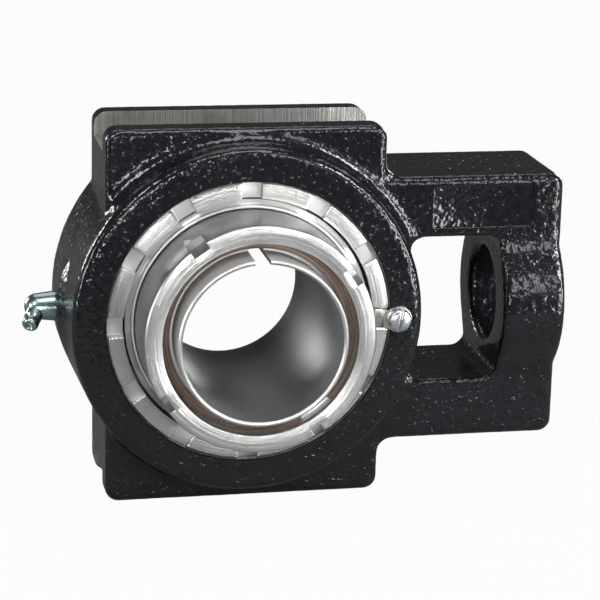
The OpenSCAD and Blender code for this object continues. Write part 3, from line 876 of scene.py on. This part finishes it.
def milled_cutters(s):
    """Cutters for the bore, its core and both guide grooves."""
    past, hollow_r, core_r, proud = 4, 5, 20, 0.5
    front, rear = -s.boss_front - past, s.barrel_rear + past
    flare_r = s.mouth_r + proud
    bore = turned(
        "bore_cutter",
        [
            (hollow_r, front), (flare_r, front), (flare_r, -s.boss_front - proud),
            (s.thread_r, s.mouth_r - s.thread_r - s.boss_front), (s.thread_r, -s.cup_face),
            (s.cup_bore_r, -s.cup_face), (s.cup_bore_r, s.cup_face), (s.lip_r, s.cup_face),
            (s.lip_r, rear), (hollow_r, rear),
        ],
        steps=256,
    )
    core = rod("core_cutter", (0, front, 0), (0, rear, 0), core_r)
    grooves = [
        block("groove_cutter", (-s.body_len, -s.groove_w / 2, low), (s.body_len, s.groove_w / 2, high))
        for low, high in ((s.groove_floor, s.body_top + past), (-s.body_top - past, -s.groove_floor))
    ]
    return [bore, core, *grooves]


def panel_cutter(s):
    """Cutter for the bare panel on the arm's front face."""
    size = (s.panel_len / 2, s.panel_h / 2)
    outline = rounded_outline((-size[0], -size[1]), size, s.edge_r)
    floor, past, near = s.panel_depth - s.body_half, 6, 0.01
    place = [(s.panel_x + x, floor, s.panel_z + z) for x, z in outline]
    cutter = prism("panel_cutter", place, (0, -past, 0))
    round_edges(
        cutter, 0.6 * s.panel_depth,
        lambda a, b: max(abs(a.y - floor), abs(b.y - floor)) < near, segments=3,
    )
    return cutter


class BEARING_OT_casting(bpy.types.Operator):
    """Moulds the housing as one cast skin, then mills its bores, grooves and holes."""

    bl_idname = "bearing.casting"
    bl_label = "Cast housing"

    def execute(self, context):
        s = context.scene.bearing_unit.casting
        pieces = [flange_block(s), *barrel(s), *arm(s), *screw_boss(s), grease_pad(s)]
        casting = joined("housing_casting", pieces)
        finish_with(casting, "REMESH", mode="VOXEL", voxel_size=s.skin_voxel * MM)
        finish_with(casting, "SMOOTH", factor=0.5, iterations=5)
        spot_face = rod("spot_face", (-s.seat_x - PAST, 0, 0), (-s.seat_x, 0, 0), s.spot_r)
        cut(casting, [spot_face, panel_cutter(s)])
        skin = bpy.data.textures.new("cast_skin", "CLOUDS")
        skin.noise_scale = s.skin_wave * MM
        skin.noise_depth = 2
        finish_with(
            casting, "DISPLACE", texture=skin, texture_coords="LOCAL",
            strength=s.skin_rough * MM, mid_level=0.5,
        )
        cut(casting, milled_cutters(s))
        activate(casting)
        bpy.ops.object.shade_smooth_by_angle(angle=math.radians(38))
        seat(casting, "casting", "painted_casting", cast_paint(s), "housing")
        return {"FINISHED"}


class BEARING_OT_cover(bpy.types.Operator):
    """Turns the threaded cover and cuts its spanner notches."""

    bl_idname = "bearing.cover"
    bl_label = "Threaded cover"

    def execute(self, context):
        s = context.scene.bearing_unit.cover
        chamfer, past = 0.6, 3
        cover = turned(
            "threaded_cover",
            [
                (s.cover_bore_r, -s.cover_face), (s.cover_r - chamfer, -s.cover_face),
                (s.cover_r, chamfer - s.cover_face), (s.cover_r, -s.cover_back),
                (s.cover_bore_r, -s.cover_back),
            ],
        )
        notches = ring_of_blocks(
            "notches", (s.cover_bore_r - past, -s.cover_face - past, -s.notch_w / 2),
            (s.cover_r + past, s.notch_depth - s.cover_face, s.notch_w / 2), s.notch_count,
        )
        cut(cover, [notches])
        break_edges(cover, 0.28)
        steel = turned_metal(
            "cover_steel", context.scene.bearing_unit.insert.turned_steel, rough=0.2, marks=1.2,
            # painted shade: the notch floors are darkened to 0.85 in the recesses
            side=(s.cover_r + 1, 0.3, 1.0), milled=(s.cover_bore_r + 0.1, 1 - s.cover_face, 0.85),
        )
        seat(cover, "casting", "cover_steel", steel, "threaded_cover")
        return {"FINISHED"}


class BEARING_OT_cover_lock(bpy.types.Operator):
    """Bends the lock tab and makes its slotted screw."""

    bl_idname = "bearing.cover_lock"
    bl_label = "Cover lock"

    def execute(self, context):
        s = context.scene.bearing_unit.cover
        face = context.scene.bearing_unit.casting.boss_front
        front, tongue = face + s.tab_t, s.tab_seat + s.tab_t
        step, play, past = s.tab_step_r - s.tab_t, 0.1, 2
        outline = [
            (s.tab_in_r, s.tab_seat), (s.tab_in_r, tongue), (step, tongue), (step, front),
            (s.lock_r, front), (s.lock_r, face), (s.tab_step_r, face), (s.tab_step_r, s.tab_seat),
        ]
        tab = prism("cover_lock_tab", [(x, -y, -s.tab_w / 2) for x, y in outline], (0, 0, s.tab_w))
        end = rod("tab_end", (s.lock_r, -front, 0), (s.lock_r, -face, 0), s.tab_end_r)
        cut(tab, [end], "UNION")
        hole = rod("tab_hole", (s.lock_r, -front - past, 0), (s.lock_r, -face + past, 0), s.shank_r + play)
        cut(tab, [hole])
        break_edges(tab, 0.3, segments=3)
        plate = zinc_plate("tab_zinc", s.zinc, tint=(0.55, 0.52, 0.44))
        seat(tab, "casting", "tab_steel", plate, "cover_lock_tab")

        point, dome_r, dome_low, crown_r, crown_fall = 0.4, 1.9, 1.4, 1.6, 0.06
        shank = [
            (NEAR_AXIS, -s.shank_len), (s.shank_r - point, -s.shank_len),
            (s.shank_r, point - s.shank_len), (s.shank_r, 0), (s.head_r, 0),
        ]
        dome = arc((s.head_r - dome_r, dome_low), dome_r, 0, 62, 5)
        crown = [(crown_r, s.head_h - crown_fall), (NEAR_AXIS, s.head_h)]
        screw = turned("cover_lock_screw", shank + dome + crown, steps=64, axis="Z")
        slot_depth, slot_turn, past = 1.7, math.radians(-12), 3
        half = s.driver_slot_w / 2
        slot = block("driver_slot", (-half, -PAST, s.head_h - slot_depth), (half, PAST, s.head_h + past))
        slot.data.transform(Matrix.Rotation(slot_turn, 4, "Z"))
        cut(screw, [slot])
        break_edges(screw, 0.16)
        screw.data.transform(
            Matrix.Translation(Vector((s.lock_r, -front, 0)) * MM) @ Matrix.Rotation(math.pi / 2, 4, "X")
        )
        plate = zinc_plate("screw_zinc", shaded(s.zinc, 1.1), tint=(0.56, 0.62, 0.66))
        seat(screw, "casting", "screw_steel", plate, "cover_lock_screw")
        return {"FINISHED"}


class BEARING_OT_seals(bpy.types.Operator):
    """Rolls the two seal cases and moulds their rubber."""

    bl_idname = "bearing.seals"
    bl_label = "Seals"

    def execute(self, context):
        s = context.scene.bearing_unit.insert
        bright = turned_metal("seal_rim_steel", s.bright_steel, rough=0.36, marks=0.1)
        rubber = seal_rubber(s)
        bead, rim, ease = (s.seal_mid_r - s.seal_in_r) / 2, s.shield_t / 2, 0.3
        for end, lip, size, way in (
            ("front", s.front_seal_y, s.front_seal_len, -1), ("rear", s.rear_seal_y, s.rear_seal_len, 1),
        ):
            top, back = lip - 2 * bead, lip - 2 * bead - s.shield_t
            section = [(s.seal_in_r, lip - size)]
            section += arc((s.seal_in_r + bead, lip - bead), bead, 180, 0, 12)
            section += arc((s.seal_out_r - rim, top - rim), rim, 90, -90, 8)
            section += [(s.seal_mid_r, back), (s.seal_mid_r, lip - size)]
            case = turned(f"{end}_seal_case", [(r, way * y) for r, y in section])
            break_edges(case, 0.12, limit=50)
            seat(case, "seals", "seal_steel", bright, f"{end}_seal_case")
            outer = [
                (s.seal_mid_r, back), (s.seal_out_r - ease, back), (s.seal_out_r, back - ease),
                (s.seal_out_r, lip - size), (s.seal_mid_r, lip - size),
            ]
            ring = turned(f"{end}_seal_rubber", [(r, way * y) for r, y in outer])
            break_edges(ring, 0.12, limit=50)
            seat(ring, "seals", "seal_rubber", rubber, f"{end}_seal_rubber")
        return {"FINISHED"}


class BEARING_OT_sleeve(bpy.types.Operator):
    """Turns the tapered sleeve and splits it."""

    bl_idname = "bearing.sleeve"
    bl_label = "Adapter sleeve"

    def execute(self, context):
        s = context.scene.bearing_unit.insert
        shoulder, mouth = s.snap_front - s.snap_t, s.sleeve_chamfer
        front_ease, rear_ease, slot_depth, slot_reach = 0.5, 0.6, 50, 80
        tail_r = s.taper_r - (s.sleeve_rear + shoulder) / s.taper_rate
        sleeve = turned(
            "adapter_sleeve",
            [
                (s.shaft_r, mouth - s.sleeve_front), (s.shaft_r + mouth, -s.sleeve_front),
                (s.pilot_r - front_ease, -s.sleeve_front), (s.pilot_r, front_ease - s.sleeve_front),
                (s.pilot_r, -shoulder), (s.taper_r, -shoulder), (tail_r, s.sleeve_rear - rear_ease),
                (tail_r - rear_ease, s.sleeve_rear), (s.shaft_r + rear_ease, s.sleeve_rear),
                (s.shaft_r, s.sleeve_rear - rear_ease),
            ],
        )
        slot = block("slot", (0, -slot_reach, -s.slot_w / 2), (slot_depth, slot_reach, s.slot_w / 2))
        cut(sleeve, [round_the_shaft(slot, s.slot_angle)])
        break_edges(sleeve, 0.2)
        steel = turned_metal(
            "sleeve_steel", s.sleeve_steel, rough=0.3, marks=0.8, side_marks=0.8,
            # painted shade: the bore's colour is dark and darkens towards the rear
            side=(s.pilot_r - 0.1, 0.5, 1.0), bore=(s.shaft_r + 0.15, s.shaded_bore_steel, 0.4),
        )
        seat(sleeve, "rotor", "sleeve_steel", steel, "adapter_sleeve")
        return {"FINISHED"}


class BEARING_OT_lock_nut(bpy.types.Operator):
    """Turns the lock nut and cuts its spanner slots."""

    bl_idname = "bearing.lock_nut"
    bl_label = "Lock nut"

    def execute(self, context):
        s = context.scene.bearing_unit.insert
        chamfer, land, play, past, slot_count = 0.7, 1.1, 0.05, 3, 4
        back = s.snap_front - s.snap_t
        groove_r, groove_front, groove_back = s.snap_out_r + play, -s.snap_front - play, play - back
        nut = turned(
            "lock_nut",
            [
                (s.nut_bore_r, -s.nut_front), (s.nut_r - chamfer, -s.nut_front),
                (s.nut_r, chamfer - s.nut_front), (s.nut_r, -s.nut_rear), (s.nut_thread_r, -s.nut_rear),
                (s.nut_thread_r, land - back), (s.nut_bore_r, land - back), (s.nut_bore_r, groove_back),
                (groove_r, groove_back), (groove_r, groove_front), (s.nut_bore_r, groove_front),
            ],
        )
        slots = ring_of_blocks(
            "spanner_slots", (s.nut_r - s.nut_slot_depth, -s.nut_front - past, -s.nut_slot_w / 2),
            (s.nut_r + past, s.nut_slot_len - s.nut_front, s.nut_slot_w / 2), slot_count, s.nut_slot_angle,
        )
        cut(nut, [slots])
        break_edges(nut, 0.25)
        steel = turned_metal(
            "nut_steel", s.bright_steel, rough=0.2, marks=1.2, side_marks=0.1,
            # painted shade: the outer side is darkened to 0.62, standing in for a dark reflection
            side=(s.nut_r - 0.1, 0.28, 0.62),
            # painted shade: the spanner slots are darkened to 0.45 in the recesses
            milled=(s.nut_r - s.nut_slot_depth - 0.2, 0.4 - s.nut_front, 0.45),
        )
        seat(nut, "rotor", "nut_steel", steel, "lock_nut")
        return {"FINISHED"}


class BEARING_OT_snap_ring(bpy.types.Operator):
    """Forms the open snap ring."""

    bl_idname = "bearing.snap_ring"
    bl_label = "Snap ring"

    def execute(self, context):
        s = context.scene.bearing_unit.insert
        ring = turned(
            "snap_ring",
            [
                (s.snap_in_r, -s.snap_front), (s.snap_out_r, -s.snap_front),
                (s.snap_out_r, s.snap_t - s.snap_front), (s.snap_in_r, s.snap_t - s.snap_front),
            ],
        )
        reach, past = 60, 2
        side = reach * math.tan(s.snap_gap / 2)
        y = -s.snap_front - past
        wedge = [(0, y, 0), (reach, y, -side), (reach, y, side)]
        gap = prism("ring_gap", wedge, (0, s.snap_t + 2 * past, 0))
        cut(ring, [round_the_shaft(gap, s.snap_gap_angle)])
        break_edges(ring, 0.3, segments=3)
        seat(ring, "rotor", "oxide_steel", oxide_steel(s), "snap_ring")
        return {"FINISHED"}


class BEARING_OT_rolling_set(bpy.types.Operator):
    """Finishes the races, rollers and cages inside the housing."""

    bl_idname = "bearing.rolling_set"
    bl_label = "Rolling set"

    def execute(self, context):
        s = context.scene.bearing_unit.insert
        race = turned_metal("race_steel", s.race_steel, rough=0.2, marks=0.2)
        dress_nodes(race, "inner_ring", "front_cup", "rear_cup")
        roller = turned_metal("roller_steel", s.bright_steel, rough=0.12, marks=0.1)
        dress_nodes(roller, "front_rollers", "rear_rollers", "grease_check_ball")
        dress_nodes(brass(s), "front_cage", "rear_cage")
        return {"FINISHED"}


class BEARING_OT_grease_fitting(bpy.types.Operator):
    """Forms the elbow grease fitting."""

    bl_idname = "bearing.grease_fitting"
    bl_label = "Grease fitting"

    def execute(self, context):
        s = context.scene.bearing_unit.fitting
        pad = context.scene.bearing_unit.casting.seat_x
        elbow, thread_end = pad + s.reach, 7.5 - pad
        dome = [(r, -elbow - h) for r, h in arc((0, 0), s.body_r, 0, 89.4, 10)]
        body = turned(
            "grease_fitting",
            [(NEAR_AXIS, thread_end), (s.thread_r, thread_end), (s.thread_r, -pad), (s.base_r, -pad)]
            + [(s.body_r, -elbow)] + dome,
            steps=64, axis="X",
        )
        head, end = s.head_r, s.nose_len
        stem, neck, round_r, ease, cup = head + 0.15, head - 0.75, 1.3, 0.5, end - 1.4
        neck_section = [(stem, end - 4.6), (neck, end - 3.9), (neck, end - 3.6), (head, end - 3)]
        inlet = [(s.inlet_r + ease, end), (s.inlet_r, end - ease), (s.inlet_r, cup), (NEAR_AXIS, cup)]
        nose = turned(
            "nose",
            [(NEAR_AXIS, 0), (stem, 0), *neck_section, (head, end - round_r)]
            + arc((head - round_r, end - round_r), round_r, 0, 80, 5) + inlet,
            steps=64, axis="Z",
        )
        nose.data.transform(
            Matrix.Translation((-elbow * MM, 0, 0)) @ Matrix.Rotation(s.nose_turn, 4, "X")
            @ Matrix.Rotation(-s.nose_lean, 4, "Y")
        )
        cut(body, [nose], "UNION")
        break_edges(body, 0.22)
        plate = zinc_plate("fitting_zinc", s.plate, tint=(0.34, 0.47, 0.49))
        seat(body, "casting", "zinc_fitting", plate, "grease_fitting")
        wire = zinc_plate("spring_wire", s.wire, tint=(0.36, 0.37, 0.38))
        dress_nodes(wire, "grease_check_spring")
        return {"FINISHED"}


def direction(azimuth, elevation):
    """Unit vector from the object, with azimuth zero at the front and growing towards +X."""
    level = math.cos(elevation)
    return Vector((math.sin(azimuth) * level, -math.cos(azimuth) * level, math.sin(elevation)))


def pale_floor(s):
    """White floor with a faint shadow, which lights the object less from behind than from the front."""
    f = Finish("pale_floor")
    shown = f.seen_by("Camera").maximum(f.seen_by("Glossy", "Transmission") * s.floor_gloss)
    fade_start, fade_len = -50.0, 200.0
    depth = ((f.y - fade_start) / fade_len).clamp()
    matte = f.surface(Base_Color=f.mix(depth, s.floor_front, s.floor_back), Roughness=0.9)
    glow = f.node("ShaderNodeEmission", {}, {"Color": (1, 1, 1, 1), "Strength": 1.0})
    return f.done(f.blend(shown * s.floor_glow, matte, glow))


def studio_world(s):
    """Dim room with a white backdrop that the camera and the metal see behind the object."""
    world = bpy.data.worlds.new("studio")
    world.use_nodes = True
    n = Nodes(world.node_tree)
    along, up = n.parts(n.node("ShaderNodeTexCoord", {}, {}, "Generated"))[1:]
    backdrop = ((along - 0.1) * 4.0).clamp() * ((0.14 - up) * 12.0).clamp()
    shown = n.seen_by("Camera").maximum(n.seen_by("Glossy", "Transmission") * backdrop)
    room = n.node("ShaderNodeBackground", {}, {"Color": (0.95, 0.97, 1, 1), "Strength": s.room_level})
    white = n.node("ShaderNodeBackground", {}, {"Color": (1, 1, 1, 1), "Strength": 1.0})
    n.node("ShaderNodeOutputWorld", {}, {"Surface": n.blend(shown, room, white)})
    return world


class BEARING_OT_studio(bpy.types.Operator):
    """Lays the floor and backdrop, lights the unit and sets up the camera."""

    bl_idname = "bearing.studio"
    bl_label = "Studio"

    def execute(self, context):
        s = context.scene.bearing_unit.studio
        size, wall, gap = 8.0, 5.0, 0.0004
        place = (0, size / 2 - s.table_front * MM, cad_low.z - gap)
        deselect()
        bpy.ops.mesh.primitive_plane_add(size=size, location=place)
        floor = settle(context.object, "floor")
        bpy.ops.object.mode_set(mode="EDIT")
        select_edges(floor, lambda a, b: min(a.y, b.y) > size / 2 / MM)
        bpy.ops.mesh.extrude_region_move(TRANSFORM_OT_translate={"value": (0, 0, wall)})
        bpy.ops.object.mode_set(mode="OBJECT")
        floor.data.materials.append(pale_floor(s))
        context.scene.world = studio_world(s)
        for name, (azimuth, elevation), distance, width, height, power in LAMPS:
            away = direction(math.radians(azimuth), math.radians(elevation))
            bpy.ops.object.light_add(type="AREA", location=away * distance)
            lamp = context.object
            lamp.name = name
            lamp.data.shape = "RECTANGLE"
            lamp.data.size = width
            lamp.data.size_y = height
            lamp.data.energy = power
            lamp.rotation_euler = (-away).to_track_quat("-Z", "Y").to_euler()

        bpy.ops.object.camera_add()
        camera = context.object
        back = direction(s.azimuth, s.elevation)
        level = (-back).cross(Vector((0, 0, 1))).normalized()
        upright = level.cross(-back)
        right = level * math.cos(s.roll) + upright * math.sin(s.roll)
        up = upright * math.cos(s.roll) - level * math.sin(s.roll)
        turn = Matrix((right, up, back)).transposed().to_4x4()
        camera.matrix_world = Matrix.Translation(s.camera_place) @ turn
        sensor_mm, frame_px = 36, 600
        camera.data.sensor_fit = "HORIZONTAL"
        camera.data.sensor_width = sensor_mm
        camera.data.lens = sensor_mm * s.focal_px / frame_px
        camera.data.clip_start = 0.05
        context.scene.camera = camera
        context.scene.view_settings.view_transform = "Standard"
        return {"FINISHED"}


OPERATORS = (
    BEARING_OT_casting, BEARING_OT_cover, BEARING_OT_cover_lock, BEARING_OT_seals, BEARING_OT_sleeve,
    BEARING_OT_lock_nut, BEARING_OT_snap_ring, BEARING_OT_rolling_set, BEARING_OT_grease_fitting,
    BEARING_OT_studio,
)


class BEARING_PT_unit(bpy.types.Panel):
    """Lists the pieces of the bearing unit."""

    bl_idname = "BEARING_PT_unit"
    bl_label = "Bearing unit"
    bl_space_type = "VIEW_3D"
    bl_region_type = "UI"
    bl_category = "Bearing unit"

    def draw(self, context):
        for operator in OPERATORS:
            self.layout.operator(operator.bl_idname)
        for name, group in SETTINGS.items():
            box = self.layout.box()
            box.label(text=name.title())
            for key in group.__annotations__:
                box.prop(getattr(context.scene.bearing_unit, name), key)


CLASSES = (*SETTINGS.values(), UnitSettings, *OPERATORS, BEARING_PT_unit)


def register():
    for item in CLASSES:
        bpy.utils.register_class(item)
    bpy.types.Scene.bearing_unit = PointerProperty(type=UnitSettings)


def unregister():
    del bpy.types.Scene.bearing_unit
    for item in reversed(CLASSES):
        bpy.utils.unregister_class(item)


def main():
    register()
    bpy.ops.bearing.casting()
    bpy.ops.bearing.cover()
    bpy.ops.bearing.cover_lock()
    bpy.ops.bearing.seals()
    bpy.ops.bearing.sleeve()
    bpy.ops.bearing.lock_nut()
    bpy.ops.bearing.snap_ring()
    bpy.ops.bearing.rolling_set()
    bpy.ops.bearing.grease_fitting()
    bpy.ops.bearing.studio()


if __name__ == "__main__":
    main()
